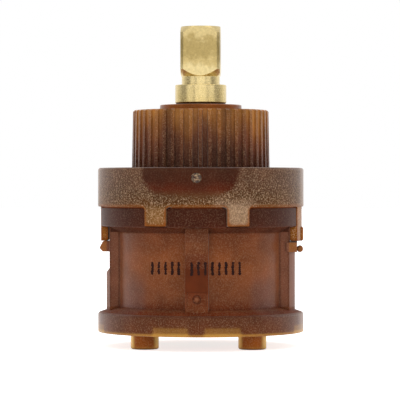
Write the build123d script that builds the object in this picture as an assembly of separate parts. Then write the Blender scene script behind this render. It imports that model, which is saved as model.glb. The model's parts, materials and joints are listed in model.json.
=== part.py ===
from build123d import *

import os
from math import cos, radians, sin

# Rotary ceramic-disc diverter cartridge for a shower or bath mixer, as separate sub-parts.
#
# The seat plane of the base is z = 0 and the stem points up along +Z. The front, -Y, is the side
# with the narrow rib and the two locating pegs. Water enters by the port on the axis and leaves by
# one of three ports behind it. All sizes are in millimetres, and angles are in degrees from +X.

# Directions about the axis
FRONT, BACK, RIGHT, LEFT = -90, 90, 0, 180
CLEARANCE = 0.1  # radial or side gap between parts that are clipped together
OVERRUN = 1.0  # how far a cutting tool runs past the face it cuts through

# Outer size of both housings
BODY_R = 20.0  # base ring and cap flange
TOP_ROUND = 0.5  # upper rims
LOW_ROUND = 0.25  # lower rims

# Lower housing: heights
BASE_RING_TOP = 3.9
POCKET_LOW = 4.95  # foot of the pocket walls, where they meet the sloped floor
POCKET_HIGH = 19.45
CLIP_RING_LOW = 20.5
CLIP_RING_TOP = 24.15
SPIGOT_TOP = 26.6
SEAT_FLOOR = 20.4  # the fixed disc lies on this floor

# Lower housing: radii and widths
POCKET_R = 16.6
RIB_R = 18.35
CLIP_RING_R, CLIP_RING_ROUND = 19.5, 0.2
SHOULDER_R = 18.9  # the cap rests on this low shoulder of the clip ring
NARROW_RIB_WIDTH = 4.35
WIDE_RIB_WIDTH = 12.5
INNER_CORNER_ROUND = 0.35
SPIGOT_R = 17.4
SEAT_R = 14.6
KEY_WIDTH, KEY_DEPTH = 3.0, 1.1

# Clip legs, their hooks and the ledges below them
LEG_WIDTH = {RIGHT: 11.4, LEFT: 7.0}
LEG_IN, LEG_OUT_R = {RIGHT: 17.9, LEFT: 18.3}, {RIGHT: 19.65, LEFT: 19.45}
HOOK_IN = {RIGHT: 17.2, LEFT: 17.8}
HOOK_LOW, HOOK_TOP, HOOK_LEAD_IN = 17.7, 20.4, 0.35
HOOK_PAD_R, HOOK_PAD_WIDTH, HOOK_PAD_ROUND = 19.95, 6.2, 0.4  # on the right hook only
RELIEF_IN = {RIGHT: 17.1, LEFT: 17.35}  # flat cut in the wide ribs, behind the hooks
RELIEF_WIDTH = {RIGHT: 11.6, LEFT: 13.5}
RELIEF_LOW = {RIGHT: 15.6, LEFT: 12.45}
RELIEF_FALL = {RIGHT: 0, LEFT: 2.6}  # drop of the relief's sloped foot on its way out
LEDGE_IN, LEDGE_LOW = 16.7, 15.6
LEDGE_TOP, LEDGE_OUT = {RIGHT: 17.45, LEFT: 17.6}, {RIGHT: 18.75, LEFT: 18.85}
LEDGE_WIDTH = {RIGHT: 13.4, LEFT: 7.0}
RIDGE_R, RIDGE_Z = 19.5, 16.3  # blunt ridge along the left ledge
BEAD_R, BEAD_OUT, BEAD_Z, BEAD_LENGTH = 0.62, 19.3, 16.1, 5.0  # round bead on the right ledge

# Short locating tabs between cap and lower housing
TAB_SPREAD = 23.2  # each side of the front and of the back
TAB_WIDTH = 4.35
TAB_IN_R = 17.6
TAB_LOW = 20.7
TAB_ROOT_ROUND, TAB_TIP_ROUND = 0.6, 0.15
TAB_ROOT_LOW = 23.9  # from here up the cut in the clip ring is wider, to clear the rounded root

# Base: locating pegs, hollows and ports
PEG_R, PEG_LENGTH, PEG_REACH, PEG_ROUND = 2.68, 2.8, 10.25, 0.4
HOLLOW_IN_R, HOLLOW_OUT_R, HOLLOW_DEPTH = 17.0, 19.2, 1.8
WEB_WIDTH, PEG_WEB_WIDTH = 2.8, 13.4
INLET_R, OUTLET_R = 2.9, 2.6
PORT_CIRCLE_R = 9.6
OUTLET_ANGLES = {"left": 150, "middle": 90, "right": 30}
GROOVE_OFFSET, GROOVE_WIDTH = 0.4, 1.2
PORT_GROOVE_DEPTH, DISC_GROOVE_DEPTH = 1.0, 1.2
RING_SECTION_R = 0.58  # section radius of the small O-rings
PORT_SEAL_PROUD = 0.2

# Gate recess at the foot of the front rib
GATE_WIDTH, GATE_LOW, GATE_BEND, GATE_HIGH, GATE_DEPTH = 3.75, 4.5, 5.9, 8.35, 0.25
GATE_DOME_R, GATE_DOME_SINK, GATE_DOME_Z = 1.0, 0.6, 6.97

# Seal between the two housings
HOUSING_GROOVE_LOW, HOUSING_GROOVE_TOP, HOUSING_GROOVE_R = 24.7, 26.1, 16.2
HOUSING_SEAL_R, HOUSING_SEAL_SECTION_R = 16.85, 0.62

# Upper housing
CAP_LOW, CAP_TOP = 24.3, 31.8
CAP_BORE_R, CAP_BORE_TOP = 17.5, 26.9
DISC_CAVITY_R, DISC_CAVITY_TOP = 15.0, 30.4
NECK_TOP, LIP_TOP, LIP_R = 43.0, 44.05, 7.95
NECK_CAVITY_R, NECK_CAVITY_TOP = 11.3, 41.4
GUIDE_R, GUIDE_LOW = 7.6, 34.6
STEM_BORE_R = 4.55
SCAR_R, SCAR_DEPTH, SCAR_Z = 1.0, 0.25, 29.8  # dimple where the cap's gate was broken off
SCAR_STUB_R, SCAR_STUB_HEIGHT = 0.7, 0.12

# Splines of the neck: straight teeth whose tips follow a slight draft
SPLINE_TEETH, SPLINE_START = 46, -88
SPLINE_ROOT_R, SPLINE_TIP_LOW_R, SPLINE_TIP_HIGH_R = 12.92, 13.4, 13.2
SPLINE_CHAMFER = 0.3
SPLINE_TIP_SHARE, SPLINE_ROOT_SHARE = 0.34, 0.56  # shares of one pitch

# Rotation stop: a block in the neck and a sector cut in the rotor hub
TRAVEL = 60  # each way from the middle position
STOP_HALF_ANGLE, STOP_IN_R = 20, 9.0
SECTOR_IN_R, SECTOR_SPARE = 8.7, 0.5

# Stem
STEM_TOP = 59.3
HEAD_R, HEAD_ACROSS_FLATS, HEAD_LOW = 5.02, 7.65, 50.9
HEAD_TIP_R, HEAD_CHAMFER = 3.85, 1.25
NECK_R, NECK_LOW, NECK_HIGH = 3.72, 47.95, 49.55
COLLAR_R, COLLAR_LOW, COLLAR_BREAK = 5.0, 44.3, 0.25
SHAFT_R = 4.5
STEM_GROOVE_R, STEM_GROOVE_HEIGHT = 3.32, 1.5
STEM_GROOVES = {"upper": 40.6, "lower": 37.0}
CLIP_GROOVE_R, CLIP_GROOVE_LOW, CLIP_GROOVE_HIGH = 3.9, 33.65, 34.45
DRIVE_HIGH, DRIVE_LOW, DRIVE_ACROSS_FLATS = 33.2, 28.7, 6.4
CENTRE_DRILL_R, CENTRE_DRILL_DEPTH = 0.9, 1.1

# Stem bush and retaining ring
BUSH_R, BUSH_LOW, BUSH_TOP = 4.92, 42.6, 44.27
CLIP_IN_R, CLIP_OUT_R, CLIP_LOW, CLIP_TOP, CLIP_GAP = 3.95, 6.0, 33.7, 34.4, 3.0

# Rotor, thrust washer and discs
ROTOR_PLATE_R, ROTOR_PLATE_LOW, ROTOR_PLATE_TOP = 14.0, 28.2, 29.8
HUB_R, HUB_TOP = 10.9, 33.0
DOG_ANGLES = (FRONT, RIGHT, LEFT)
DOG_WIDTH, DOG_IN_R, DOG_LOW = 5.0, 12.0, 25.4
WASHER_IN_R, WASHER_OUT_R, WASHER_LOW, WASHER_TOP = 11.5, 14.6, 29.83, 30.37
FIXED_DISC_R, FIXED_DISC_TOP = 14.4, 24.4
MOVING_DISC_R, MOVING_DISC_LOW = 14.0, 24.42
DISC_INLET_R, DISC_OUTLET_R = 2.3, 2.15
PASSAGE_WIDTH, PASSAGE_DEPTH = 4.4, 2.4
DISC_CHAMFER = 0.3


def disc(radius, low, high):
    """A solid cylinder on the axis, from one height to another."""
    align = (Align.CENTER, Align.CENTER, Align.MIN)
    return Pos(0, 0, low) * Cylinder(radius, high - low, align=align)


def cone(low_radius, high_radius, low, high):
    align = (Align.CENTER, Align.CENTER, Align.MIN)
    return Pos(0, 0, low) * Cone(low_radius, high_radius, high - low, align=align)


def tube(outer, inner, low, high):
    return disc(outer, low, high) - disc(inner, low - OVERRUN, high + OVERRUN)


def off_axis(radius, angle):
    """The location at a radius and angle from the axis, in the seat plane."""
    return Pos(radius * cos(radians(angle)), radius * sin(radians(angle)), 0)


def spoke(angle, width, inner, outer, low, high):
    """A flat-sided block that points away from the axis."""
    align = (Align.MIN, Align.CENTER, Align.MIN)
    bar = Pos(inner, 0, low) * Box(outer - inner, width, high - low, align=align)
    return Rot(0, 0, angle) * bar


def arc_block(angle, width, inner, outer, low, high):
    """A flat-sided block with round inner and outer faces about the axis."""
    return spoke(angle, width, 0, outer + OVERRUN, low, high) & tube(outer, inner, low, high)


def sector(angle, half_angle, radius, low, high):
    """A wedge of a cylinder, half_angle each side of its middle direction."""
    far = radius / cos(radians(half_angle)) + OVERRUN
    side = far * sin(radians(half_angle)), far * cos(radians(half_angle))
    outline = Polyline((0, 0), (side[1], side[0]), (side[1], -side[0]), close=True)
    wedge = extrude(Pos(0, 0, low) * make_face(outline), high - low)
    return Rot(0, 0, angle) * wedge & disc(radius, low, high)


def turned(points):
    """A solid of revolution from (radius, height) points, closed along the axis."""
    outline = Polyline(*[(r, 0, z) for r, z in points], close=True)
    return revolve(make_face(outline), axis=Axis.Z)


def flats(across, low, high, reach=BODY_R):
    """The four blocks that cut a square of the given width across flats out of a bar."""
    height = high - low
    align = (Align.MIN, Align.CENTER, Align.MIN)
    blocks = Part()
    for turn in range(4):
        block = Pos(across / 2, 0, low) * Box(reach, 2 * reach, height, align=align)
        blocks += Rot(0, 0, 90 * turn) * block
    return blocks


def o_ring(centre, radius, section, height):
    return centre * Pos(0, 0, height) * Torus(radius, section)


def ports():
    """Each water port as (name, location of its axis, bore radius)."""
    found = [("inlet", Pos(0, 0, 0), INLET_R)]
    for name, angle in OUTLET_ANGLES.items():
        found.append((name, off_axis(PORT_CIRCLE_R, angle), OUTLET_R))
    return found


def groove_mid(bore):
    return bore + GROOVE_OFFSET + GROOVE_WIDTH / 2


def side_profile(points, width, angle=0):
    """A solid from its (radius, height) outline, as wide as given and centred on an angle."""
    outline = Polyline(*[(r, 0, z) for r, z in points], close=True)
    slab = extrude(make_face(outline), width, dir=(0, 1, 0))
    return Rot(0, 0, angle) * (Pos(0, -width / 2, 0) * slab)


def rounded_disc(radius, low, high, low_edge, high_edge):
    """A cylinder with its lower and upper rims rounded."""
    plain = disc(radius, low, high)
    low_rim = plain.edges().filter_by(GeomType.CIRCLE).sort_by(Axis.Z)[0]
    body = fillet(low_rim, low_edge)
    high_rim = body.edges().filter_by(GeomType.CIRCLE).sort_by(Axis.Z)[-1]
    return fillet(high_rim, high_edge)


def base_hollows():
    """The moulding hollows round the underside, with a web at each peg, rib and quarter."""
    hollow = tube(HOLLOW_OUT_R, HOLLOW_IN_R, -OVERRUN, HOLLOW_DEPTH)
    for step in range(8):
        angle = 45 * step + FRONT
        width = PEG_WEB_WIDTH if step in (1, 7) else WEB_WIDTH
        hollow -= spoke(angle, width, 0, BODY_R + OVERRUN, -2 * OVERRUN, HOLLOW_DEPTH)
    return hollow


def gate_recess():
    """The recess in the front rib round the moulding gate, with a sloped foot."""
    face = -RIB_R
    floor = face + GATE_DEPTH
    outline = Polyline(
        (0, face - OVERRUN, GATE_LOW),
        (0, face, GATE_LOW),
        (0, floor, GATE_BEND),
        (0, floor, GATE_HIGH),
        (0, face - OVERRUN, GATE_HIGH),
        close=True,
    )
    return Pos(-GATE_WIDTH / 2, 0, 0) * extrude(make_face(outline), GATE_WIDTH, dir=(1, 0, 0))


def gate_dome():
    """The domed vestige of the gate, on the recess floor."""
    depth = -RIB_R + GATE_DEPTH + GATE_DOME_SINK
    return Pos(0, depth, GATE_DOME_Z) * Sphere(GATE_DOME_R)


def left_ledge():
    """The ledge below the left hook, whose outer face comes to a ridge."""
    outer, top = LEDGE_OUT[LEFT], LEDGE_TOP[LEFT]
    points = [
        (LEDGE_IN, LEDGE_LOW),
        (LEDGE_IN, top),
        (outer, top),
        (RIDGE_R, RIDGE_Z),
        (outer, LEDGE_LOW),
    ]
    return side_profile(points, LEDGE_WIDTH[LEFT], LEFT)


def right_ledge():
    """The ledge below the right hook, with a round bead along its outer face."""
    block = spoke(
        RIGHT, LEDGE_WIDTH[RIGHT], LEDGE_IN, LEDGE_OUT[RIGHT], LEDGE_LOW, LEDGE_TOP[RIGHT]
    )
    bead = Pos(BEAD_OUT, 0, BEAD_Z) * Rot(90, 0, 0) * Cylinder(BEAD_R, BEAD_LENGTH)
    rims = bead.edges().filter_by(GeomType.CIRCLE)
    return block + fillet(rims, BEAD_R / 2)


def ribs():
    """The two narrow and two wide upright ribs between the base ring and the clip ring."""
    low, high = BASE_RING_TOP - OVERRUN, CLIP_RING_LOW + OVERRUN
    made = Part()
    for angle, width in (
        (FRONT, NARROW_RIB_WIDTH),
        (BACK, NARROW_RIB_WIDTH),
        (LEFT, WIDE_RIB_WIDTH),
        (RIGHT, WIDE_RIB_WIDTH),
    ):
        made += arc_block(angle, width, SEAT_R, RIB_R, low, high)
    return made


def lower_body_outside():
    """The outside of the lower housing: rings, ribs and pocket walls."""
    body = disc(POCKET_R, 0, CLIP_RING_TOP)
    body += ribs()
    corners = [
        edge
        for edge in body.edges().filter_by(Axis.Z)
        if abs(Vector(edge.center().X, edge.center().Y, 0).length - POCKET_R) < 0.05
    ]
    body = fillet(corners, INNER_CORNER_ROUND)
    body += rounded_disc(BODY_R, 0, BASE_RING_TOP, LOW_ROUND, TOP_ROUND)
    body += cone(BODY_R - TOP_ROUND, POCKET_R, BASE_RING_TOP, POCKET_LOW)
    body += cone(POCKET_R, RIB_R, POCKET_HIGH, CLIP_RING_LOW)
    rim = CLIP_RING_ROUND
    body += rounded_disc(CLIP_RING_R, CLIP_RING_LOW, CLIP_RING_TOP, rim, rim)
    body += disc(SHOULDER_R, CLIP_RING_TOP, CAP_LOW)
    return body + disc(SPIGOT_R, CLIP_RING_TOP, SPIGOT_TOP)


def relief(side):
    """The flat cut in a wide rib that leaves room for the hook, with its sloped foot."""
    inner, low = RELIEF_IN[side], RELIEF_LOW[side]
    points = [
        (inner, CLIP_RING_LOW),
        (BODY_R, CLIP_RING_LOW),
        (BODY_R, low - RELIEF_FALL[side]),
        (inner, low),
    ]
    return side_profile(points, RELIEF_WIDTH[side], side)


def clip_cuts():
    """What the clip ring and the wide ribs give up to the cap's tabs, legs and hooks."""
    above = CAP_LOW + CLEARANCE / 2
    cuts = Part()
    for side in (FRONT, BACK):
        for turn in (-TAB_SPREAD, TAB_SPREAD):
            angle = side + turn
            width = TAB_WIDTH + 2 * CLEARANCE
            root_width = width + 2 * TAB_ROOT_ROUND
            inner = TAB_IN_R - CLEARANCE
            cuts += arc_block(angle, width, inner, BODY_R, CLIP_RING_LOW, above)
            cuts += arc_block(angle, root_width, inner, BODY_R, TAB_ROOT_LOW, above)
    for side in (LEFT, RIGHT):
        width = LEG_WIDTH[side] + 2 * CLEARANCE
        inner = LEG_IN[side] - CLEARANCE
        cuts += spoke(side, width, inner, BODY_R + OVERRUN, CLIP_RING_LOW, above)
        cuts += relief(side)
    return cuts


def seat_cuts():
    """The seat of the fixed disc, without its two keys."""
    seat = disc(SEAT_R, SEAT_FLOOR, SPIGOT_TOP + OVERRUN)
    for side in (LEFT, RIGHT):
        inner = SEAT_R - KEY_DEPTH
        seat -= spoke(side, KEY_WIDTH, inner, SEAT_R + OVERRUN, SEAT_FLOOR, CLIP_RING_TOP)
    return seat


def port_cuts():
    """Every waterway with the seal grooves at its two ends."""
    cuts = Part()
    for _, place, bore in ports():
        inner = bore + GROOVE_OFFSET
        outer = inner + GROOVE_WIDTH
        cuts += place * disc(bore, -OVERRUN, SEAT_FLOOR + OVERRUN)
        cuts += place * tube(outer, inner, -OVERRUN, PORT_GROOVE_DEPTH)
        floor = SEAT_FLOOR - DISC_GROOVE_DEPTH
        cuts += place * tube(outer, inner, floor, SEAT_FLOOR + OVERRUN)
    return cuts


def pegs():
    """The two locating pegs under the front of the base."""
    made = Part()
    for side in (-1, 1):
        peg = disc(PEG_R, -PEG_LENGTH, OVERRUN)
        rim = peg.edges().filter_by(GeomType.CIRCLE).sort_by(Axis.Z)[0]
        made += Pos(side * PEG_REACH, -PEG_REACH, 0) * fillet(rim, PEG_ROUND)
    return made


def lower_housing():
    body = lower_body_outside() - clip_cuts()
    body -= seat_cuts()
    body -= port_cuts()
    body -= base_hollows()
    body -= tube(
        SPIGOT_R + OVERRUN, HOUSING_GROOVE_R, HOUSING_GROOVE_LOW, HOUSING_GROOVE_TOP
    )
    body -= gate_recess()
    body += gate_dome()
    body += left_ledge()
    body += right_ledge()
    return body + pegs()


def splined_neck():
    """The toothed outside of the cap's neck."""
    pitch = 360 / SPLINE_TEETH
    half_tip = pitch * SPLINE_TIP_SHARE / 2
    half_foot = pitch * (1 - SPLINE_ROOT_SHARE) / 2
    outside = SPLINE_TIP_LOW_R + CLEARANCE
    points = []
    for tooth in range(SPLINE_TEETH):
        middle = SPLINE_START + tooth * pitch
        for turn, radius in (
            (-half_foot, SPLINE_ROOT_R),
            (-half_tip, outside),
            (half_tip, outside),
            (half_foot, SPLINE_ROOT_R),
        ):
            angle = radians(middle + turn)
            points.append((radius * cos(angle), radius * sin(angle)))
    teeth = extrude(Pos(0, 0, CAP_TOP) * make_face(Polyline(*points, close=True)), NECK_TOP - CAP_TOP)
    tips = turned(
        [
            (0, CAP_TOP),
            (SPLINE_TIP_LOW_R, CAP_TOP),
            (SPLINE_TIP_HIGH_R, NECK_TOP - SPLINE_CHAMFER),
            (SPLINE_TIP_HIGH_R - SPLINE_CHAMFER, NECK_TOP),
            (0, NECK_TOP),
        ]
    )
    return teeth & tips


def cap_tab(angle):
    """A short tab that locates the cap in the clip ring, with its root rounded."""
    half, root = TAB_WIDTH / 2, TAB_WIDTH / 2 + TAB_ROOT_ROUND + CLEARANCE
    top = CAP_LOW + TOP_ROUND
    outline = Polyline(
        (-half, TAB_LOW),
        (half, TAB_LOW),
        (half, CAP_LOW),
        (root, CAP_LOW),
        (root, top),
        (-root, top),
        (-root, CAP_LOW),
        (-half, CAP_LOW),
        close=True,
    )
    face = make_face(outline)
    roots = [v for v in face.vertices() if abs(v.Y - CAP_LOW) < 0.01 and abs(v.X) < half + 0.01]
    face = fillet(roots, TAB_ROOT_ROUND)
    face = fillet(face.vertices().sort_by(Axis.Y)[:2], TAB_TIP_ROUND)
    slab = extrude(Plane.YZ * face, BODY_R + OVERRUN)
    return Rot(0, 0, angle) * slab & tube(BODY_R, TAB_IN_R, TAB_LOW, top)


def cap_leg(side):
    """A snap leg, with the hook that grips under the clip ring."""
    inner, tip, top = LEG_IN[side], HOOK_IN[side], CAP_LOW + OVERRUN
    points = [
        (tip, HOOK_TOP),
        (inner, HOOK_TOP),
        (inner, top),
        (BODY_R + OVERRUN, top),
        (BODY_R + OVERRUN, HOOK_LOW),
        (tip + HOOK_LEAD_IN, HOOK_LOW),
        (tip, HOOK_LOW + HOOK_LEAD_IN),
    ]
    leg = side_profile(points, LEG_WIDTH[side], side)
    return leg & disc(LEG_OUT_R[side], HOOK_LOW, top)


def hook_pad():
    """The rounded grip pad on the outside of the right hook."""
    align = (Align.MAX, Align.CENTER, Align.MIN)
    depth = HOOK_PAD_R - LEG_IN[RIGHT]
    block = Box(depth, HOOK_PAD_WIDTH, HOOK_TOP - HOOK_LOW, align=align)
    corners = block.edges().group_by(Axis.X)[-1]
    return Pos(HOOK_PAD_R, 0, HOOK_LOW) * fillet(corners, HOOK_PAD_ROUND)


def gate_scar():
    """The dimple on the front of the flange where the moulding gate was broken off."""
    align = (Align.CENTER, Align.CENTER, Align.MIN)
    inward = Pos(0, -BODY_R, SCAR_Z) * Rot(-90, 0, 0)
    dimple = inward * Pos(0, 0, -OVERRUN) * Cylinder(SCAR_R, OVERRUN + SCAR_DEPTH, align=align)
    low = SCAR_DEPTH - SCAR_STUB_HEIGHT
    return dimple - inward * Pos(0, 0, low) * Cylinder(SCAR_STUB_R, OVERRUN, align=align)


def cap_cavities():
    """Everything hollow inside the upper housing."""
    hollow = disc(CAP_BORE_R, CAP_LOW - OVERRUN, CAP_BORE_TOP)
    hollow += disc(DISC_CAVITY_R, CAP_LOW - OVERRUN, DISC_CAVITY_TOP)
    neck = disc(NECK_CAVITY_R, CAP_LOW, NECK_CAVITY_TOP)
    neck -= disc(GUIDE_R, GUIDE_LOW, NECK_CAVITY_TOP + OVERRUN)
    stop = sector(BACK, STOP_HALF_ANGLE, NECK_CAVITY_R, DISC_CAVITY_TOP, NECK_CAVITY_TOP)
    stop -= disc(STOP_IN_R, DISC_CAVITY_TOP - OVERRUN, NECK_CAVITY_TOP + OVERRUN)
    hollow += neck - stop
    hollow += disc(STEM_BORE_R, CAP_LOW, LIP_TOP + OVERRUN)
    return hollow + disc(BUSH_R + 0.02, BUSH_LOW, LIP_TOP + OVERRUN)


def upper_housing():
    body = rounded_disc(BODY_R, CAP_LOW, CAP_TOP, LOW_ROUND, TOP_ROUND)
    for side in (FRONT, BACK):
        for turn in (-TAB_SPREAD, TAB_SPREAD):
            body += cap_tab(side + turn)
    for side in (LEFT, RIGHT):
        body += cap_leg(side)
    body += hook_pad()
    body += splined_neck()
    lip = disc(LIP_R, NECK_TOP - OVERRUN, LIP_TOP)
    rim = lip.edges().filter_by(GeomType.CIRCLE).sort_by(Axis.Z)[-1]
    body += fillet(rim, 0.2)
    return body - cap_cavities() - gate_scar()


def stem():
    """The brass stem: square head, neck, collar, sealed shaft and square drive."""
    points = [
        (0, STEM_TOP),
        (HEAD_TIP_R, STEM_TOP),
        (HEAD_R, STEM_TOP - HEAD_CHAMFER),
        (HEAD_R, HEAD_LOW),
        (NECK_R, NECK_HIGH),
        (NECK_R, NECK_LOW),
        (COLLAR_R - COLLAR_BREAK / 2, NECK_LOW),
        (COLLAR_R, NECK_LOW - COLLAR_BREAK / 2),
        (COLLAR_R, COLLAR_LOW + COLLAR_BREAK),
        (COLLAR_R - COLLAR_BREAK, COLLAR_LOW),
        (SHAFT_R, COLLAR_LOW),
    ]
    for low in STEM_GROOVES.values():
        high = low + STEM_GROOVE_HEIGHT
        points += [(SHAFT_R, high), (STEM_GROOVE_R, high), (STEM_GROOVE_R, low), (SHAFT_R, low)]
    points += [
        (SHAFT_R, CLIP_GROOVE_HIGH),
        (CLIP_GROOVE_R, CLIP_GROOVE_HIGH),
        (CLIP_GROOVE_R, CLIP_GROOVE_LOW),
        (SHAFT_R, CLIP_GROOVE_LOW),
        (SHAFT_R, DRIVE_LOW + 0.3),
        (SHAFT_R - 0.3, DRIVE_LOW),
        (0, DRIVE_LOW),
    ]
    bar = turned(points)
    bar -= flats(HEAD_ACROSS_FLATS, NECK_LOW + OVERRUN, STEM_TOP + OVERRUN)
    bar -= flats(DRIVE_ACROSS_FLATS, DRIVE_LOW - OVERRUN, DRIVE_HIGH)
    drill = cone(0.05, CENTRE_DRILL_R, STEM_TOP - CENTRE_DRILL_DEPTH, STEM_TOP)
    return bar - drill


def stem_bush():
    return tube(BUSH_R, STEM_BORE_R, BUSH_LOW, BUSH_TOP)


def retaining_ring():
    """The open snap ring that holds the stem in the cap."""
    ring = tube(CLIP_OUT_R, CLIP_IN_R, CLIP_LOW, CLIP_TOP)
    mouth = spoke(FRONT, CLIP_GAP, 0, CLIP_OUT_R + OVERRUN, CLIP_LOW - 1, CLIP_TOP + 1)
    return ring - mouth


def rotor():
    """The driver that carries the stem's turn to the moving disc."""
    body = disc(ROTOR_PLATE_R, ROTOR_PLATE_LOW, ROTOR_PLATE_TOP)
    body += disc(HUB_R, ROTOR_PLATE_LOW, HUB_TOP)
    half = STOP_HALF_ANGLE + TRAVEL + SECTOR_SPARE
    cut = sector(BACK, half, HUB_R + OVERRUN, ROTOR_PLATE_TOP, HUB_TOP + OVERRUN)
    body -= cut - disc(SECTOR_IN_R, ROTOR_PLATE_TOP - OVERRUN, HUB_TOP + 2 * OVERRUN)
    for angle in DOG_ANGLES:
        body += arc_block(
            angle, DOG_WIDTH, DOG_IN_R, ROTOR_PLATE_R, DOG_LOW, ROTOR_PLATE_LOW + OVERRUN
        )
    socket = disc(SHAFT_R + CLEARANCE, ROTOR_PLATE_LOW - OVERRUN, HUB_TOP + OVERRUN)
    across = DRIVE_ACROSS_FLATS + CLEARANCE
    socket -= flats(across, ROTOR_PLATE_LOW - 2 * OVERRUN, HUB_TOP + 2 * OVERRUN)
    return body - socket


def thrust_washer():
    return tube(WASHER_OUT_R, WASHER_IN_R, WASHER_LOW, WASHER_TOP)


def moving_disc():
    """The upper ceramic disc, with the blind passage that joins the inlet to one outlet."""
    plain = disc(MOVING_DISC_R, MOVING_DISC_LOW, ROTOR_PLATE_LOW)
    top_rim = plain.edges().filter_by(GeomType.CIRCLE).sort_by(Axis.Z)[-1]
    body = chamfer(top_rim, DISC_CHAMFER)
    for angle in DOG_ANGLES:
        width = DOG_WIDTH + 2 * CLEARANCE
        inner = DOG_IN_R - CLEARANCE
        low, high = MOVING_DISC_LOW - OVERRUN, ROTOR_PLATE_LOW + OVERRUN
        body -= arc_block(angle, width, inner, MOVING_DISC_R + OVERRUN, low, high)
    slot = Rot(0, 0, 90) * SlotCenterToCenter(PORT_CIRCLE_R, PASSAGE_WIDTH)
    passage = extrude(Pos(0, PORT_CIRCLE_R / 2, MOVING_DISC_LOW) * slot, PASSAGE_DEPTH)
    return body - passage


def fixed_disc():
    """The lower ceramic disc, with one hole for each port and two key slots."""
    plain = disc(FIXED_DISC_R, SEAT_FLOOR, FIXED_DISC_TOP)
    low_rim = plain.edges().filter_by(GeomType.CIRCLE).sort_by(Axis.Z)[0]
    body = chamfer(low_rim, DISC_CHAMFER)
    for name, place, _ in ports():
        radius = DISC_INLET_R if name == "inlet" else DISC_OUTLET_R
        body -= place * disc(radius, SEAT_FLOOR - OVERRUN, FIXED_DISC_TOP + OVERRUN)
    for side in (LEFT, RIGHT):
        inner = SEAT_R - KEY_DEPTH - CLEARANCE
        width = KEY_WIDTH + 2 * CLEARANCE
        low, high = SEAT_FLOOR - OVERRUN, FIXED_DISC_TOP + OVERRUN
        body -= spoke(side, width, inner, SEAT_R + OVERRUN, low, high)
    return body


def seals():
    """Every O-ring as (node name, solid)."""
    made = []
    for name, place, bore in ports():
        middle = groove_mid(bore)
        low = RING_SECTION_R - PORT_SEAL_PROUD
        made.append((f"port_seal_{name}", o_ring(place, middle, RING_SECTION_R, low)))
        high = SEAT_FLOOR - DISC_GROOVE_DEPTH / 2
        made.append((f"disc_seal_{name}", o_ring(place, middle, RING_SECTION_R, high)))
    for name, low in STEM_GROOVES.items():
        middle = low + STEM_GROOVE_HEIGHT / 2
        ring = o_ring(Pos(0, 0, 0), STEM_GROOVE_R + 0.62, RING_SECTION_R, middle)
        made.append((f"stem_seal_{name}", ring))
    middle = (HOUSING_GROOVE_LOW + HOUSING_GROOVE_TOP) / 2
    ring = o_ring(Pos(0, 0, 0), HOUSING_SEAL_R, HOUSING_SEAL_SECTION_R, middle)
    made.append(("housing_seal", ring))
    return made


def main():
    os.makedirs("parts", exist_ok=True)
    nodes = [
        ("upper_housing", upper_housing()),
        ("lower_housing", lower_housing()),
        ("stem", stem()),
        ("stem_bush", stem_bush()),
        ("stem_retaining_ring", retaining_ring()),
        ("rotor", rotor()),
        ("thrust_washer", thrust_washer()),
        ("moving_disc", moving_disc()),
        ("fixed_disc", fixed_disc()),
        *seals(),
    ]
    for name, solid in nodes:
        export_step(solid, f"parts/{name}.step")


main()
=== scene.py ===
"""Looks of the diverter cartridge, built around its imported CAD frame.

In the part's frame the seat plane of the base is z = 0, the stem points up +Z, and the front with
the narrow rib and the two pegs is -Y. Places on the part, material nodes and the small pieces are
worked out in millimetres, and the camera, the lights and the floor in metres.
"""

import json
import math
import random

import bmesh
import bpy
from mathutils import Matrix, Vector, noise


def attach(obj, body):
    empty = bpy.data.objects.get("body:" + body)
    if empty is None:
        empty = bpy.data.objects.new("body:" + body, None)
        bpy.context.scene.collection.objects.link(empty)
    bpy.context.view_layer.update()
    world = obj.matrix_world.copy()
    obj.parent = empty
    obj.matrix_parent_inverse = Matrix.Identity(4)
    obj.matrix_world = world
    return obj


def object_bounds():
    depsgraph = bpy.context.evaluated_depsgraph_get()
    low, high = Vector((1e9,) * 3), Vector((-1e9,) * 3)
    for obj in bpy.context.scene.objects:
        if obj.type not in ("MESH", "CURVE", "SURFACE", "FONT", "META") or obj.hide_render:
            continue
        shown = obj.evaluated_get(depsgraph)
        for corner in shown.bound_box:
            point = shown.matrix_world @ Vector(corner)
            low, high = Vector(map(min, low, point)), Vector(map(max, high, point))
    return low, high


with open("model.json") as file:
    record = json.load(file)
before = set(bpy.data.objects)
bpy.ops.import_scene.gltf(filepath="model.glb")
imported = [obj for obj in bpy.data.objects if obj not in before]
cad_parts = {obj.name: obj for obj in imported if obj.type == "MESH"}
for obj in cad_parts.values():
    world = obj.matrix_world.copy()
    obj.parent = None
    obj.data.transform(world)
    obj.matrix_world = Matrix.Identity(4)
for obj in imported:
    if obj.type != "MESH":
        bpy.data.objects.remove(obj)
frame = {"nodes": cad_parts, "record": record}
cad_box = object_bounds()
MM = 0.001

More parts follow.
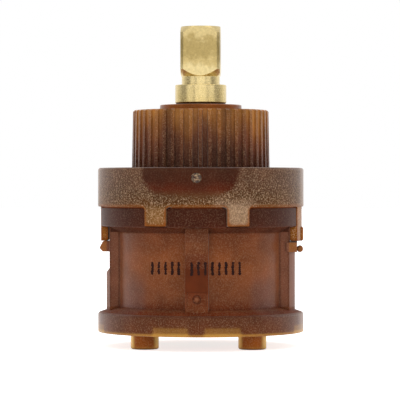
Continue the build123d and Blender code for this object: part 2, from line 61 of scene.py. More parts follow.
# Places on the part, in millimetres
BODY_R = 20.0
BASE_RING_TOP, CLIP_RING_LOW = 3.7, 20.4
PANEL_R, PANEL_LOW, PANEL_TOP = 16.6, 5.2, 19.2
RIB_R, RIB_HALF_WIDTH, GATE_TOP = 18.35, 2.17, 8.4
WALL_Y, WALL_IN_X, WALL_OUT_X, WALL_TOP = 6.25, 15.38, 17.25, 20.3  # side walls of the wide ribs
SLOPE_LOW, SLOPE_TOP = 19.46, 20.46  # the slope from the panels out to the clip ring
LEDGE_LOW, LEDGE_TOP = 15.55, 17.65
PEG_X, DOME_Z = 10.25, 6.97
CAP_LOW, FLANGE_TOP, NECK_TOP = 24.3, 31.8, 43.0
TOOTH_ROOT_R, TOOTH_TIP_R = 12.95, 13.2
OVAL_X, OVAL_HALF_WIDTH, OVAL_DROP = -1.3, 9.8, 6.3  # polished patch that hangs from the flange's top
HEAD_LOW = 49.2  # the stem is turned below this and milled above
SCAR_Z, SCAR_R, SCAR_DEPTH = 29.8, 0.95, 0.25
SPECK = (7.95, -10.66, 41.4)  # a dark speck moulded into the neck


# --- Colours and node graphs ---------------------------------------------------------------------


def linear(red, green, blue):
    """A display colour, 0 to 255, as the linear colour that a shader socket takes."""
    channels = []
    for value in (red, green, blue):
        share = value / 255
        channels.append(share / 12.92 if share <= 0.04045 else ((share + 0.055) / 1.055) ** 2.4)
    return (*channels, 1.0)


class Graph:
    """A material's node tree, with short calls for the nodes used here."""

    def __init__(self, name):
        self.material = bpy.data.materials.new(name)
        self.material.use_nodes = True
        self.tree = self.material.node_tree
        self.shader = self.tree.nodes["Principled BSDF"]
        place = self.add("ShaderNodeTexCoord").outputs["Object"]
        self.mm = self.vector("SCALE", place, scale=1 / MM)
        split = self.add("ShaderNodeSeparateXYZ")
        self.join(self.mm, split.inputs[0])
        self.x, self.y, self.z = split.outputs

    def add(self, kind, **settings):
        node = self.tree.nodes.new(kind)
        for key, value in settings.items():
            setattr(node, key, value)
        return node

    def join(self, value, socket):
        """Links a node's output to a socket, or sets the socket to a plain value."""
        if isinstance(value, bpy.types.NodeSocket):
            self.tree.links.new(value, socket)
        else:
            socket.default_value = value

    def set(self, **values):
        """Sets or links the shader's own sockets; a word's underscores stand for spaces."""
        for key, value in values.items():
            self.join(value, self.shader.inputs[key.replace("_", " ")])

    def math(self, operation, *values):
        node = self.add("ShaderNodeMath", operation=operation)
        for value, socket in zip(values, node.inputs):
            self.join(value, socket)
        return node.outputs[0]

    def vector(self, operation, *values, scale=None):
        node = self.add("ShaderNodeVectorMath", operation=operation)
        for value, socket in zip(values, node.inputs):
            self.join(value, socket)
        if scale is not None:
            self.join(scale, node.inputs["Scale"])
        return node.outputs["Vector"]

    def product(self, *factors):
        result = factors[0]
        for factor in factors[1:]:
            result = self.math("MULTIPLY", result, factor)
        return result

    def away(self, value, place):
        """How far a coordinate is from a place, either way."""
        return self.math("ABSOLUTE", self.math("SUBTRACT", value, place))

    def distance(self, across, along):
        """The straight distance over two steps at right angles."""
        squares = self.math("ADD", self.math("POWER", across, 2.0), self.math("POWER", along, 2.0))
        return self.math("SQRT", squares)

    def fade(self, value, low, high, start=0.0, end=1.0):
        """Goes smoothly from start to end as the value goes from low to high."""
        return self.scale_range(value, low, high, start, end, "SMOOTHSTEP")

    def scale_range(self, value, low, high, start=0.0, end=1.0, kind="LINEAR"):
        """Goes evenly from start to end as the value goes from low to high."""
        node = self.add("ShaderNodeMapRange", interpolation_type=kind)
        for item, socket in zip((value, low, high, start, end), node.inputs):
            self.join(item, socket)
        return node.outputs[0]

    def spread(self, grain, start, end):
        """Noise spread out from start to end. Most of its values lie between 0.3 and 0.7."""
        return self.scale_range(grain, 0.3, 0.7, start, end)

    def band(self, value, low, high, soft):
        """One between low and high, and fading to nothing over the given softness outside."""
        rise = self.fade(value, low - soft, low)
        fall = self.fade(value, high, high + soft, 1.0, 0.0)
        return self.math("MULTIPLY", rise, fall)

    def mix(self, share, first, second):
        """A colour between the first and the second."""
        node = self.add("ShaderNodeMix", data_type="RGBA")
        # A mix node has its colours at inputs 6 and 7 and the mixed colour at output 2.
        self.join(share, node.inputs["Factor"])
        self.join(first, node.inputs[6])
        self.join(second, node.inputs[7])
        return node.outputs[2]

    def tint(self, colour, share, display_colour):
        """The colour, turned by a share towards a display colour."""
        return self.mix(share, colour, linear(*display_colour))

    def noise(self, size, detail=2.0, roughness=0.5, stretch=None, seed=0.0):
        """Noise from 0 to 1 with grains about as large as the given size in millimetres."""
        place = self.mm
        if stretch:
            place = self.vector("MULTIPLY", place, stretch)
        if seed:
            place = self.vector("ADD", place, (seed, seed, seed))
        node = self.add("ShaderNodeTexNoise")
        for key, value in (("Scale", 1 / size), ("Detail", detail), ("Roughness", roughness)):
            node.inputs[key].default_value = value
        self.join(place, node.inputs["Vector"])
        return node.outputs["Fac"]

    def ramp(self, value, stops):
        """Runs evenly through (value, display colour) stops, or (value, number) stops up to one."""
        low, high = stops[0][0], stops[-1][0]
        node = self.add("ShaderNodeValToRGB")
        elements = node.color_ramp.elements
        while len(elements) < len(stops):
            elements.new(0.5)
        for element, (at, _) in zip(elements, stops):
            element.position = (at - low) / (high - low)
        for element, (_, shade) in zip(elements, stops):
            element.color = linear(*shade) if isinstance(shade, tuple) else (shade, shade, shade, 1.0)
        self.join(self.scale_range(value, low, high), node.inputs[0])
        return node.outputs[0]

    def radius(self):
        """The distance from the axis."""
        return self.distance(self.x, self.y)

    def radial_share(self):
        """How far a place lies towards the sides, from 0 at the front and back to 1 at +X and -X."""
        return self.math("ABSOLUTE", self.math("DIVIDE", self.x, self.radius()))

    def brighten(self, colour, factor):
        """The colour multiplied by a number."""
        return self.vector("SCALE", colour, scale=factor)

    def bump(self, height, depth, normal=None):
        """A normal from a height of 0 to 1, as deep as the given depth in millimetres."""
        node = self.add("ShaderNodeBump")
        node.inputs["Distance"].default_value = depth * MM
        self.join(height, node.inputs["Height"])
        if normal:
            self.join(normal, node.inputs["Normal"])
        return node.outputs[0]

    def soft_edges(self, radius):
        """A normal that rounds every sharp edge by the given radius in millimetres."""
        node = self.add("ShaderNodeBevel", samples=6)
        node.inputs["Radius"].default_value = radius * MM
        return node.outputs[0]

    def turn_upright(self, normal, share):
        """The normal, turned by a share towards the level direction away from the axis."""
        outward = self.vector("NORMALIZE", self.vector("MULTIPLY", self.mm, (1.0, 1.0, 0.0)))
        rest = self.vector("SCALE", normal, scale=self.math("SUBTRACT", 1.0, share))
        both = self.vector("ADD", rest, self.vector("SCALE", outward, scale=share))
        return self.vector("NORMALIZE", both)

    def closeness(self, reach, **settings):
        """Near 1 where other surfaces are within the reach in millimetres, and 0 where none is."""
        node = self.add("ShaderNodeAmbientOcclusion", samples=8, **settings)
        node.inputs["Distance"].default_value = reach * MM
        return self.math("SUBTRACT", 1.0, node.outputs["AO"])

    def thinness(self, reach):
        """Near 1 at edges and in thin walls, and 0 in thick stock."""
        return self.closeness(reach, inside=True, only_local=True)

    def crevice(self, reach):
        """Near 1 in corners and narrow grooves, and 0 in the open."""
        return self.closeness(reach)


# --- Translucent amber plastic -------------------------------------------------------------------

PALE_GRAIN, PALE_SHEEN, CORNER_SHADE = (192, 162, 130), (206, 190, 180), (48, 18, 8)
CLOUD_SIZE, GRAIN_SIZE, WAVE_SIZE = 4.5, 0.25, 2.2  # millimetres
EDGE_ROUND, EDGE_REACH = 0.08, 0.9
LIGHT_GRAIN, DARK_GRAIN = 0.46, 0.3  # how strongly frost lightens and darkens


def amber_colour(graph, colour, grain, frost, glow, glow_colour, corner_depth):
    """The colour with cloudiness, frosted grain, painted light in thin edges and painted shade in
    corners.
    """
    cloud = graph.noise(CLOUD_SIZE, 2.0, 0.55)
    colour = graph.brighten(colour, graph.spread(cloud, 0.80, 1.20))
    sparkle = graph.fade(grain, 0.48, 0.66)
    dark = graph.fade(grain, 0.34, 0.52, 1.0, 0.0)
    colour = graph.tint(colour, graph.product(sparkle, frost, LIGHT_GRAIN), PALE_GRAIN)
    colour = graph.brighten(colour, graph.math("SUBTRACT", 1.0, graph.product(dark, frost, DARK_GRAIN)))
    # Painted light: thin edges and walls are tinted towards the glow colour, as light shining through
    # them.
    thin = graph.fade(graph.thinness(EDGE_REACH), 0.08, 0.45)
    colour = graph.tint(colour, graph.product(thin, glow), glow_colour)
    # Painted shade: corners and narrow grooves are darkened towards the corner shade colour.
    corner = graph.fade(graph.crevice(EDGE_REACH), 0.15, 0.75, 0.0, corner_depth)
    return graph.tint(colour, corner, CORNER_SHADE)


def amber(graph, colour, frost, glow, glow_colour, sheen, upright, corner_depth=0.7, matt=0.0):
    """Finishes an amber material.

    Frost, glow, upright, corner_depth and matt may change over the part: how frosted it is, how
    far painted light shows in thin edges, how far its normals are turned level, how dark the painted
    shade in its corners is, and what is added to its roughness.
    """
    grain = graph.noise(GRAIN_SIZE, 2.0, 0.7)
    edges = graph.turn_upright(graph.soft_edges(EDGE_ROUND), upright)
    waves = graph.bump(graph.noise(WAVE_SIZE, 1.0, seed=7.0), 0.012, edges)
    graph.set(
        Base_Color=amber_colour(graph, colour, grain, frost, glow, glow_colour, corner_depth),
        Roughness=graph.math("ADD", graph.scale_range(frost, 0.0, 1.0, 0.24, 0.6), matt),
        Normal=graph.bump(graph.product(grain, frost), 0.05, waves),
        IOR=1.45,
        Specular_IOR_Level=0.5,
        Specular_Tint=(0.45, 0.22, 0.15, 1.0),
        Subsurface_Weight=0.2,
        Subsurface_Scale=0.0008,
        Subsurface_Radius=(1.0, 0.42, 0.16),
        Sheen_Weight=sheen,
        Sheen_Roughness=0.3,
        Sheen_Tint=(1.0, 0.92, 0.86, 1.0),
    )
    return graph.material


def neck_colour(graph):
    """Golden at the top and dark at the foot, with pale teeth and a dark speck."""
    across = graph.noise(4.0, 1.0, stretch=(1.0, 1.0, 0.25), seed=3.0)
    height = graph.math("ADD", graph.z, graph.spread(across, -2.0, 2.0))
    colour = graph.ramp(
        height,
        (
            (31.0, (56, 28, 19)),
            (34.5, (61, 31, 21)),
            (37.5, (84, 46, 27)),
            (40.0, (113, 69, 31)),
            (43.0, (138, 91, 42)),
        ),
    )
    # Painted highlight and shade: at the front the tips of the teeth are paler than the grooves, and at
    # the sides darker.
    groove = graph.fade(graph.radial_share(), 0.35, 0.95, 1.0, 1.75)
    tip = graph.fade(graph.radial_share(), 0.35, 0.95, 1.16, 1.12)
    colour = graph.brighten(colour, graph.fade(graph.radius(), TOOTH_ROOT_R, TOOTH_TIP_R, groove, tip))
    # Painted sheen: the sides of the neck are brighter towards its foot.
    low = graph.fade(graph.z, 34.5, 40.5, 0.5, 0.0)
    low_side_sheen = graph.product(graph.fade(graph.radial_share(), 0.4, 0.9), low)
    colour = graph.brighten(colour, graph.math("ADD", low_side_sheen, 1.0))
    # Ribs inside the neck show through as darker bands of painted shade, where they block light.
    inner_rib = graph.band(graph.radial_share(), 0.38, 0.47, 0.05)
    colour = graph.tint(colour, graph.product(inner_rib, 0.5), (62, 34, 22))
    speck_x, speck_y, speck_z = SPECK
    aside = graph.distance(graph.away(graph.x, speck_x), graph.away(graph.y, speck_y))
    from_speck = graph.distance(aside, graph.away(graph.z, speck_z))
    return graph.tint(colour, graph.fade(from_speck, 0.1, 0.32, 0.9, 0.0), (24, 22, 20))


def polished_oval(graph):
    """Near 1 on the smooth patch at the front of the flange, with an uneven border."""
    run = graph.math("DIVIDE", graph.math("SUBTRACT", graph.x, OVAL_X), OVAL_HALF_WIDTH)
    drop = graph.math("DIVIDE", graph.math("SUBTRACT", graph.z, FLANGE_TOP), OVAL_DROP)
    reach = graph.math("ADD", graph.math("POWER", run, 4.0), graph.math("POWER", drop, 2.0))
    reach = graph.math("ADD", reach, graph.spread(graph.noise(2.6, 3.0, seed=11.0), -0.1, 0.1))
    front = graph.fade(graph.y, -17.5, -16.5, 1.0, 0.0)
    return graph.product(graph.fade(reach, 0.66, 1.02, 1.0, 0.0), front)


def flange_colour(graph, polished):
    """Dull brown sides and golden tabs, a red glow in the polished oval, and painted sheen where the
    sides turn away.
    """
    sides = graph.ramp(
        graph.z,
        (
            (20.5, (126, 83, 37)),
            (23.8, (118, 82, 44)),
            (25.0, (78, 44, 10)),
            (26.5, (74, 46, 22)),
            (28.0, (78, 50, 32)),
            (31.8, (84, 56, 39)),
        ),
    )
    middle = graph.ramp(
        graph.z,
        (
            (26.4, (80, 48, 24)),
            (27.6, (70, 20, 2)),
            (29.2, (54, 18, 5)),
            (31.8, (52, 24, 12)),
        ),
    )
    # Painted sheen: the flange's far sides are turned pale, as light grazing off them.
    flange_side_sheen = graph.fade(graph.radial_share(), 0.95, 1.0, 0.0, 0.25)
    return graph.tint(graph.mix(polished, sides, middle), flange_side_sheen, PALE_SHEEN)


def cap_plastic():
    """The upper housing: golden top of the neck, dark foot, frosted flange with a polished patch."""
    graph = Graph("amber_cap")
    neck = neck_colour(graph)
    polished = polished_oval(graph)
    is_neck = graph.fade(graph.z, FLANGE_TOP - 0.05, FLANGE_TOP + 0.05)
    colour = graph.mix(is_neck, flange_colour(graph, polished), neck)
    lip = graph.fade(graph.z, NECK_TOP - 0.05, NECK_TOP + 0.05)
    colour = graph.tint(colour, lip, (132, 74, 26))
    # Painted light: the snap legs below the cap are tinted golden, as light shining through their thin
    # stock.
    below = graph.fade(graph.z, CAP_LOW + 0.1, CAP_LOW - 0.1)
    legs = graph.product(graph.fade(graph.radial_share(), 0.86, 0.92), below)
    colour = graph.tint(colour, legs, (142, 84, 18))
    # The front tab on the right is paler than the others.
    right_tab = graph.product(graph.band(graph.x, 4.5, 10.0, 2.0), graph.fade(graph.y, -12, -14))
    right_tab_pale = graph.product(right_tab, graph.fade(graph.z, 23.5, 27.0, 0.32, 0.0))
    colour = graph.tint(colour, right_tab_pale, (186, 162, 138))
    frost = graph.math("SUBTRACT", 1.0, graph.product(polished, 0.85))
    frost = graph.product(frost, graph.fade(graph.z, 26.0, 30.0, 1.12, 0.72))
    neck_frost = graph.fade(graph.radius(), TOOTH_ROOT_R, TOOTH_TIP_R, 0.35, 0.9)
    frost = graph.product(frost, graph.fade(graph.z, 31.7, 32.4, 1.0, neck_frost))
    # The flange's lower rim doesn't mirror the floor.
    at_rim = graph.fade(graph.radius(), 19.5, 19.7)
    low_rim = graph.product(graph.band(graph.z, CAP_LOW, CAP_LOW + 0.2, 0.1), at_rim, 0.8)
    return amber(
        graph,
        colour,
        frost,
        # Painted light glows in thin edges low on the flange.
        glow=graph.fade(graph.z, 24.6, 26.0, 0.9, 0.1),
        glow_colour=(124, 64, 10),
        sheen=0.42,
        upright=low_rim,
        corner_depth=graph.fade(graph.z, FLANGE_TOP, 32.6, 0.7, 0.15),
    )


def body_by_height(graph):
    """The lower housing's colour from the pegs to the clip ring, and that of its ribs."""
    colour = graph.ramp(
        graph.z,
        (
            (-2.8, (146, 80, 24)),
            (-0.2, (136, 72, 22)),
            (0.6, (92, 46, 21)),
            (3.7, (80, 41, 22)),
            (4.1, (98, 36, 6)),
            (5.0, (94, 36, 7)),
            (7.0, (108, 58, 32)),
            (13.0, (116, 62, 30)),
            (19.2, (102, 52, 26)),
            # Painted shade: the dark stops from 19.5 to 20.4 darken the slope under the clip ring.
            (19.5, (74, 32, 16)),
            (20.4, (74, 32, 16)),
            (20.7, (54, 17, 5)),
            (24.5, (50, 17, 6)),
        ),
    )
    ribs = graph.ramp(
        graph.z,
        (
            (4.5, (100, 49, 22)),
            (8.2, (98, 42, 17)),
            (8.4, (86, 35, 11)),
            (12.8, (84, 34, 11)),
            (17.0, (94, 50, 28)),
            (20.5, (84, 44, 26)),
        ),
    )
    below_ring = graph.band(graph.z, 4.6, CLIP_RING_LOW, 0.1)
    proud = graph.product(graph.fade(graph.radius(), 16.9, 17.4), below_ring)
    return graph.mix(proud, colour, ribs)


def wide_rib_walls(graph, colour):
    """Paler side walls on the wide ribs, with painted shade as dark lines down their inner and outer
    corners.
    """
    height = graph.band(graph.z, PANEL_LOW, WALL_TOP, 0.2)
    wall = graph.product(height, graph.fade(graph.radial_share(), 0.915, 0.925), 0.8)
    colour = graph.tint(colour, wall, (118, 74, 56))
    away_y = graph.math("SUBTRACT", graph.math("ABSOLUTE", graph.y), WALL_Y)
    for corner_x, darkness in ((WALL_IN_X, 0.6), (WALL_OUT_X, 0.45)):
        away_x = graph.math("SUBTRACT", graph.math("ABSOLUTE", graph.x), corner_x)
        corner_shade_line = graph.fade(graph.distance(away_x, away_y), 0.1, 0.45, darkness, 0.0)
        colour = graph.tint(colour, graph.product(corner_shade_line, height), (60, 26, 14))
    return colour


def lit_edges(graph, colour):
    """Painted sheen on the base ring's sides, and painted light in the ledges and pegs, which let more
    light through.
    """
    # Painted sheen: the base ring's far sides are turned pale.
    side = graph.fade(graph.radial_share(), 0.94, 1.0, 0.0, 0.25)
    side = graph.product(side, graph.fade(graph.z, BASE_RING_TOP, BASE_RING_TOP + 0.4, 1.0, 0.0))
    colour = graph.tint(colour, side, (206, 180, 158))
    ledge = graph.product(
        graph.band(graph.z, LEDGE_LOW, LEDGE_TOP, 0.02), graph.fade(graph.radius(), 18.3, 18.6), 0.6
    )
    colour = graph.tint(colour, ledge, (150, 94, 40))
    from_peg = graph.away(graph.math("ABSOLUTE", graph.x), PEG_X)
    peg_rim = graph.product(graph.fade(from_peg, 1.6, 2.5), graph.fade(graph.z, -0.2, 0.0, 1.0, 0.0), 0.9)
    return graph.tint(colour, peg_rim, (236, 196, 104))


def gate_dome(graph, colour):
    """The dome of the gate gets painted shade as a dark rim and a painted highlight at its middle."""
    from_dome = graph.distance(graph.x, graph.math("SUBTRACT", graph.z, DOME_Z))
    facing = graph.fade(graph.y, -17.8, -17.6, 1.0, 0.0)
    rim = graph.product(graph.band(from_dome, 0.62, 0.8, 0.18), facing, 0.5)
    colour = graph.tint(colour, rim, (58, 22, 10))
    top = graph.product(graph.fade(from_dome, 0.1, 0.5, 0.5, 0.0), facing)
    return graph.tint(colour, top, (146, 92, 62))


def body_frost(graph, between):
    """The lower housing's frost: light, least on the panels, and none on a stretch of the rib."""
    on_front = graph.fade(graph.y, -17.6, -17.4, 1.0, 0.0)
    on_rib = graph.product(on_front, graph.band(graph.x, -2.3, 2.3, 0.1))
    polished = graph.product(on_rib, graph.band(graph.z, GATE_TOP, 12.4, 0.8))
    frost = graph.math("SUBTRACT", 0.42, graph.product(between, 0.16))
    frost = graph.product(frost, graph.fade(graph.z, 19.0, 19.6, 1.0, 0.45))
    frost = graph.product(frost, graph.fade(graph.z, 3.6, 5.0, 0.8, 1.0))
    return graph.product(frost, graph.math("SUBTRACT", 1.0, polished))


def body_matt(graph, between):
    """Roughness added to the clip ring, the slopes under it and on the base, and the wide ribs."""
    matt = graph.ramp(
        graph.z,
        (
            (3.7, 0.0),
            (4.0, 0.4),
            (4.9, 0.4),
            (5.3, 0.0),
            (19.1, 0.0),
            (19.4, 0.6),
            (20.4, 0.6),
            (20.7, 0.25),
        ),
    )
    wide_rib = graph.product(graph.fade(graph.radial_share(), 0.9, 0.95), between, 0.3)
    return graph.math("MAXIMUM", matt, wide_rib)


def gap_light(graph):
    """Painted light, set as a faint emission, fills the narrow gap under the cap and its notches, as
    light through the plastic.
    """
    gap = graph.band(graph.z, 24.1, CAP_LOW + 0.02, 0.03)
    notch = graph.band(graph.z, 23.88, CAP_LOW + 0.02, 0.03)
    notch = graph.product(notch, graph.fade(graph.radius(), 19.4, 19.2))
    strength = graph.product(graph.math("MAXIMUM", gap, notch), 0.5)
    graph.set(Emission_Color=linear(126, 58, 14), Emission_Strength=strength)


def body_plastic():
    """The lower housing: redder, with a polished stretch on the front rib."""
    graph = Graph("amber_body")
    colour = body_by_height(graph)
    colour = wide_rib_walls(graph, colour)
    colour = lit_edges(graph, colour)
    colour = gate_dome(graph, colour)
    # Painted shade: cooler patches low in the panels' outer corners.
    low = graph.band(graph.z, 5.5, 8.5, 4.0)
    low_corner_shade = graph.product(graph.band(graph.radial_share(), 0.66, 0.78, 0.10), low, 0.4)
    colour = graph.tint(colour, low_corner_shade, (90, 62, 58))
    # Painted shade: the slope under the clip ring is darkened, as a hollow is.
    within_ribs = graph.fade(graph.radius(), RIB_R - 0.01, RIB_R - 0.15)
    slope = graph.product(graph.band(graph.z, SLOPE_LOW, SLOPE_TOP, 0.02), within_ribs, 0.9)
    colour = graph.tint(colour, slope, (74, 31, 14))
    base_slope = graph.product(graph.band(graph.z, 4.0, 4.9, 0.05), 0.5)
    between = graph.band(graph.z, PANEL_LOW, PANEL_TOP, 0.3)
    gap_light(graph)
    return amber(
        graph,
        colour,
        body_frost(graph, between),
        # Painted light glows golden in the thin-walled foot of the base.
        glow=graph.fade(graph.z, 2.2, 3.4, 0.95, 0.0),
        glow_colour=(184, 138, 64),
        sheen=0.12,
        upright=graph.math("MAXIMUM", slope, base_slope),
        matt=body_matt(graph, between),
    )


# --- The other materials -------------------------------------------------------------------------


def brass():
    """Turned collar and neck with tool lines; the milled head's middle is painted darker, as a
    reflection.
    """
    graph = Graph("turned_brass")
    patch = graph.noise(1.9, 3.0, 0.62, seed=5.0)
    fine = graph.noise(0.4, 3.0, 0.75)
    height = graph.math("ADD", graph.z, graph.spread(patch, -1.3, 1.3))
    # Painted reflection: the head is darker from 52.4 to 56.4 and brighter above and below.
    tone = graph.ramp(
        height,
        (
            (44.0, (212, 188, 128)),
            (47.6, (220, 198, 142)),
            (49.6, (220, 198, 142)),
            (51.2, (220, 200, 146)),
            (52.4, (198, 175, 118)),
            (54.0, (172, 150, 96)),
            (56.4, (176, 154, 100)),
            (57.6, (202, 180, 126)),
            (59.5, (208, 187, 132)),
        ),
    )
    tone = graph.brighten(tone, graph.spread(fine, 0.78, 1.05))
    turned_part = graph.fade(graph.z, HEAD_LOW, HEAD_LOW + 0.4, 1.0, 0.0)
    rings = graph.noise(0.16, 1.0, stretch=(0.02, 0.02, 1.0), seed=2.0)
    lines = graph.bump(graph.product(rings, turned_part), 0.006, graph.soft_edges(0.1))
    dents = graph.bump(patch, 0.02, lines)
    rough = graph.scale_range(fine, 0.2, 0.8, 0.0, 0.1)
    base_rough = graph.fade(graph.z, HEAD_LOW, HEAD_LOW + 1.7, 0.2, 0.3)
    graph.set(
        Base_Color=tone,
        Metallic=1.0,
        Roughness=graph.math("ADD", base_rough, rough),
        Normal=graph.bump(fine, 0.004, dents),
    )
    return graph.material


def rubber():
    graph = Graph("black_rubber")
    dust = graph.noise(0.5, 3.0, 0.6)
    graph.set(
        Base_Color=graph.ramp(dust, ((0.3, (24, 24, 25)), (0.7, (44, 44, 46)))),
        Roughness=graph.spread(dust, 0.42, 0.6),
        Normal=graph.bump(graph.noise(0.12, 2.0), 0.006),
    )
    return graph.material


def ceramic():
    graph = Graph("lapped_ceramic")
    cloud = graph.noise(1.8, 3.0)
    graph.set(
        Base_Color=graph.ramp(cloud, ((0.3, (222, 216, 204)), (0.7, (236, 232, 222)))),
        Roughness=graph.spread(graph.noise(0.2, 2.0), 0.12, 0.22),
        Normal=graph.bump(graph.noise(0.08, 1.0), 0.002, graph.soft_edges(0.08)),
    )
    return graph.material


def white_plastic():
    graph = Graph("white_plastic")
    cloud = graph.noise(3.0, 2.0)
    graph.set(
        Base_Color=graph.ramp(cloud, ((0.3, (218, 214, 202)), (0.7, (230, 227, 217)))),
        Roughness=graph.spread(graph.noise(0.25, 2.0), 0.45, 0.58),
        Normal=graph.bump(graph.noise(0.2, 2.0), 0.012, graph.soft_edges(0.1)),
        Subsurface_Weight=0.1,
        Subsurface_Scale=0.001,
    )
    return graph.material


def dark_plastic():
    graph = Graph("dark_plastic")
    cloud = graph.noise(0.8, 2.0)
    graph.set(
        Base_Color=graph.ramp(cloud, ((0.3, (46, 30, 24)), (0.7, (66, 42, 32)))),
        Roughness=graph.spread(cloud, 0.4, 0.55),
        Normal=graph.bump(graph.noise(0.2, 2.0), 0.01, graph.soft_edges(0.06)),
    )
    return graph.material


def spring_steel():
    graph = Graph("spring_steel")
    streak = graph.noise(0.3, 3.0, stretch=(1.0, 0.15, 1.0))
    graph.set(
        Base_Color=graph.ramp(streak, ((0.3, (168, 168, 170)), (0.7, (200, 200, 202)))),
        Metallic=1.0,
        Roughness=graph.spread(streak, 0.28, 0.42),
        Normal=graph.bump(streak, 0.004, graph.soft_edges(0.06)),
    )
    return graph.material


def ink():
    graph = Graph("ink")
    worn = graph.noise(0.25, 2.0)
    graph.set(
        Base_Color=graph.ramp(worn, ((0.35, (26, 11, 8)), (0.7, (50, 22, 16)))),
        Roughness=graph.spread(worn, 0.6, 0.8),
        Specular_IOR_Level=0.1,
    )
    return graph.material


def broken_plastic():
    """The pale, torn plastic of a broken gate."""
    graph = Graph("broken_plastic")
    torn = graph.noise(0.45, 3.0, 0.7)
    graph.set(
        Base_Color=graph.ramp(
            torn,
            (
                (0.38, (52, 33, 22)),
                (0.5, (88, 64, 46)),
                (0.62, (164, 134, 100)),
            ),
        ),
        Roughness=graph.spread(torn, 0.35, 0.6),
        Normal=graph.bump(torn, 0.05),
        Subsurface_Weight=0.2,
        Subsurface_Scale=0.0005,
    )
    return graph.material


def finish_nodes():
    """Gives every CAD node its own procedural material."""
    slots = {
        "brass": brass(),
        "black_rubber": rubber(),
        "ceramic": ceramic(),
        "white_plastic": white_plastic(),
        "dark_bush_plastic": dark_plastic(),
        "spring_steel": spring_steel(),
    }
    own = {"upper_housing": cap_plastic(), "lower_housing": body_plastic()}
    for part in frame["record"]["subparts"]:
        node = part["node"]
        thing = frame["nodes"][node]
        material = own.get(node) or slots[part["material_slot"]]
        for place in thing.material_slots:
            place.material = material


# --- Pieces too small for the CAD ----------------------------------------------------------------


def new_piece(name, shape, material):
    """A piece of the housing from a bmesh."""
    mesh = bpy.data.meshes.new(name)
    shape.to_mesh(mesh)
    shape.free()
    mesh.materials.append(material)
    piece = bpy.data.objects.new(name, mesh)
    bpy.context.scene.collection.objects.link(piece)
    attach(piece, "housing")


SCAR_SINK, SCAR_HALF_DEPTH = 0.05, 0.14
SCAR_RAGGED, SCAR_TORN = 0.22, 0.16  # how uneven its outline and its face are


def gate_scar():
    """The torn stub where the cap's gate was broken off, in its dimple on the flange."""
    shape = bmesh.new()
    bmesh.ops.create_icosphere(shape, subdivisions=5, radius=1.0)
    for vertex in shape.verts:
        torn = noise.fractal(vertex.co * 3.6, 0.8, 2.2, 5)
        ragged = 1 + SCAR_RAGGED * noise.noise(vertex.co * 2.2 + Vector((4, 0, 1)))
        vertex.co.x *= SCAR_R * ragged
        vertex.co.z *= SCAR_R * ragged
        vertex.co.y *= SCAR_HALF_DEPTH + SCAR_TORN * torn
        vertex.co = (vertex.co + Vector((0, -BODY_R + SCAR_DEPTH - SCAR_SINK, SCAR_Z))) * MM
        vertex.co.y = max(vertex.co.y, -BODY_R * MM)
    for face in shape.faces:
        face.smooth = True
    new_piece("gate_scar", shape, broken_plastic())


INK_Z, INK_ROWS, INK_ROW_STEP = 12.75, 6, 0.40
INK_BARS, INK_BAR_STEP, INK_START = 14, 1.27, -8.55
INK_DOT_R, INK_DOT_CORNERS, INK_LIFT = 0.26, 10, 0.012
INK_SCATTER_X, INK_SCATTER_Z = 0.06, 0.04
INK_RIB_EDGE_GAP = 0.35  # no stroke this near to an edge of the rib


def ink_dot(shape, x, z, radius, chance):
    """One flat drop of ink on the panel or the rib at this place."""
    surface = RIB_R if abs(x) < RIB_HALF_WIDTH else PANEL_R
    ring = []
    for step in range(INK_DOT_CORNERS):
        turn = math.tau * step / INK_DOT_CORNERS
        reach = radius * chance.uniform(0.85, 1.15)
        px = x + reach * math.cos(turn)
        py = -math.sqrt((surface + INK_LIFT) ** 2 - px ** 2)
        ring.append(shape.verts.new(Vector((px, py, z + reach * math.sin(turn))) * MM))
    shape.faces.new(ring)


def ink_marks():
    """A plain row of evenly spaced ink strokes, each a column of sprayed dots."""
    shape = bmesh.new()
    chance = random.Random(4)
    for bar in range(INK_BARS):
        middle = INK_START + bar * INK_BAR_STEP
        if abs(abs(middle) - RIB_HALF_WIDTH) < INK_RIB_EDGE_GAP:
            continue
        for row in range(INK_ROWS):
            x = middle + chance.uniform(-INK_SCATTER_X, INK_SCATTER_X)
            z = INK_Z + (row - (INK_ROWS - 1) / 2) * INK_ROW_STEP
            z += chance.uniform(-INK_SCATTER_Z, INK_SCATTER_Z)
            ink_dot(shape, x, z, INK_DOT_R * chance.uniform(0.8, 1.2), chance)
    new_piece("ink_marks", shape, ink())


# --- Camera, light and floor ---------------------------------------------------------------------

AXIS_AIM = Vector((-0.00015, 0, 0.02556))
CAMERA_DISTANCE = 0.458
CAMERA_AZIMUTH = math.radians(2.4)
CAMERA_RISE = 0.0023
STUDIO_R = 0.75


def make_camera():
    """A long lens in front of the part, about level with its middle."""
    data = bpy.data.cameras.new("camera")
    data.lens = 211.5
    data.sensor_width = 36
    data.clip_end = 10
    camera = bpy.data.objects.new("camera", data)
    bpy.context.scene.collection.objects.link(camera)
    back = Vector((math.sin(CAMERA_AZIMUTH), -math.cos(CAMERA_AZIMUTH), 0))
    camera.location = AXIS_AIM + back * CAMERA_DISTANCE
    camera.location.z += CAMERA_RISE
    camera.rotation_euler = (math.pi / 2, 0, CAMERA_AZIMUTH)
    data.shift_y = -CAMERA_RISE / CAMERA_DISTANCE * data.lens / data.sensor_width
    bpy.context.scene.camera = camera


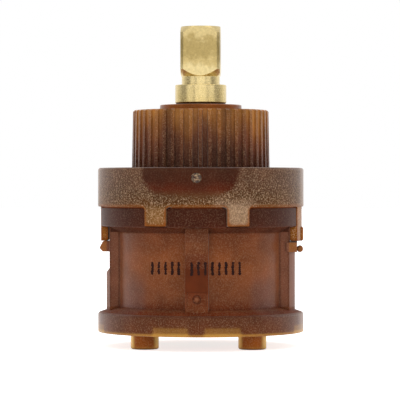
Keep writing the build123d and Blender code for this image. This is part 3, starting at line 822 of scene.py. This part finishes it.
def soft_box(name, azimuth, half_angle, low, high, radiance):
    """A soft box on the rim of a round studio; azimuth 0 is the front and 90 is the part's +X side."""
    data = bpy.data.lights.new(name, "AREA")
    data.shape = "RECTANGLE"
    data.size = 2 * STUDIO_R * math.tan(math.radians(half_angle))
    data.size_y = high - low
    data.energy = radiance * math.pi * data.size * data.size_y
    lamp = bpy.data.objects.new(name, data)
    bpy.context.scene.collection.objects.link(lamp)
    turn = math.radians(azimuth)
    lamp.location = (STUDIO_R * math.sin(turn), -STUDIO_R * math.cos(turn), (low + high) / 2)
    lamp.rotation_euler = (math.pi / 2, 0, turn)
    lamp.visible_camera = False


def make_world():
    """A white room: bright behind the part, dimmer in front of it, and white to the camera."""
    world = bpy.data.worlds.new("studio")
    bpy.context.scene.world = world
    world.use_nodes = True
    tree = world.node_tree
    backdrop = tree.nodes["Background"]
    backdrop.inputs["Color"].default_value = (1, 1, 1, 1)
    direction = tree.nodes.new("ShaderNodeTexCoord").outputs["Generated"]
    split = tree.nodes.new("ShaderNodeSeparateXYZ")
    tree.links.new(direction, split.inputs[0])
    depth = tree.nodes.new("ShaderNodeMapRange")
    front_y, behind_y, front_light, behind_light = -0.05, 0.6, 0.31, 1.20
    for value, socket in zip((front_y, behind_y, front_light, behind_light), list(depth.inputs)[1:5]):
        socket.default_value = value
    tree.links.new(split.outputs["Y"], depth.inputs[0])
    ray = tree.nodes.new("ShaderNodeLightPath")
    strength = tree.nodes.new("ShaderNodeMix")
    tree.links.new(ray.outputs["Is Camera Ray"], strength.inputs[0])
    tree.links.new(depth.outputs[0], strength.inputs[2])
    strength.inputs[3].default_value = 1.0
    tree.links.new(strength.outputs[0], backdrop.inputs["Strength"])


FLOOR_GAP = 0.00002


def make_floor():
    """A plain pale light table under the pegs."""
    lowest = cad_box[0][2]
    bpy.ops.mesh.primitive_plane_add(size=6, location=(0, 0, lowest - FLOOR_GAP))
    floor = bpy.context.object
    floor.name = "floor"
    graph = Graph("floor")
    tone = graph.ramp(graph.noise(90.0, 2.0), ((0.3, (243, 243, 243)), (0.7, (247, 247, 247))))
    ray = graph.add("ShaderNodeLightPath")
    graph.set(
        Base_Color=tone,
        Roughness=0.8,
        Specular_IOR_Level=0.0,
        Emission_Color=(1, 1, 1, 1),
        Emission_Strength=graph.scale_range(ray.outputs["Is Camera Ray"], 0.0, 1.0, 0.45, 0.72),
    )
    floor.data.materials.append(graph.material)


def top_box(size, height, radiance):
    """A soft box right above the part."""
    data = bpy.data.lights.new("top_box", "AREA")
    data.size = size
    data.energy = radiance * math.pi * size**2
    lamp = bpy.data.objects.new("top_box", data)
    bpy.context.scene.collection.objects.link(lamp)
    lamp.location = (0, 0, height)
    lamp.visible_camera = False


def make_studio():
    """A floor, three soft boxes round the front and one above, in a white room."""
    bpy.context.scene.view_settings.view_transform = "Standard"
    make_world()
    make_floor()
    soft_box("front_box", 2.4, 27, 0.0, 0.85, 0.95)
    soft_box("left_box", -47, 15, 0.0, 0.75, 0.75)
    soft_box("right_box", 51, 15, 0.0, 0.75, 0.7)
    top_box(0.8, 0.85, 1.6)


make_camera()
make_studio()
finish_nodes()
gate_scar()
ink_marks()
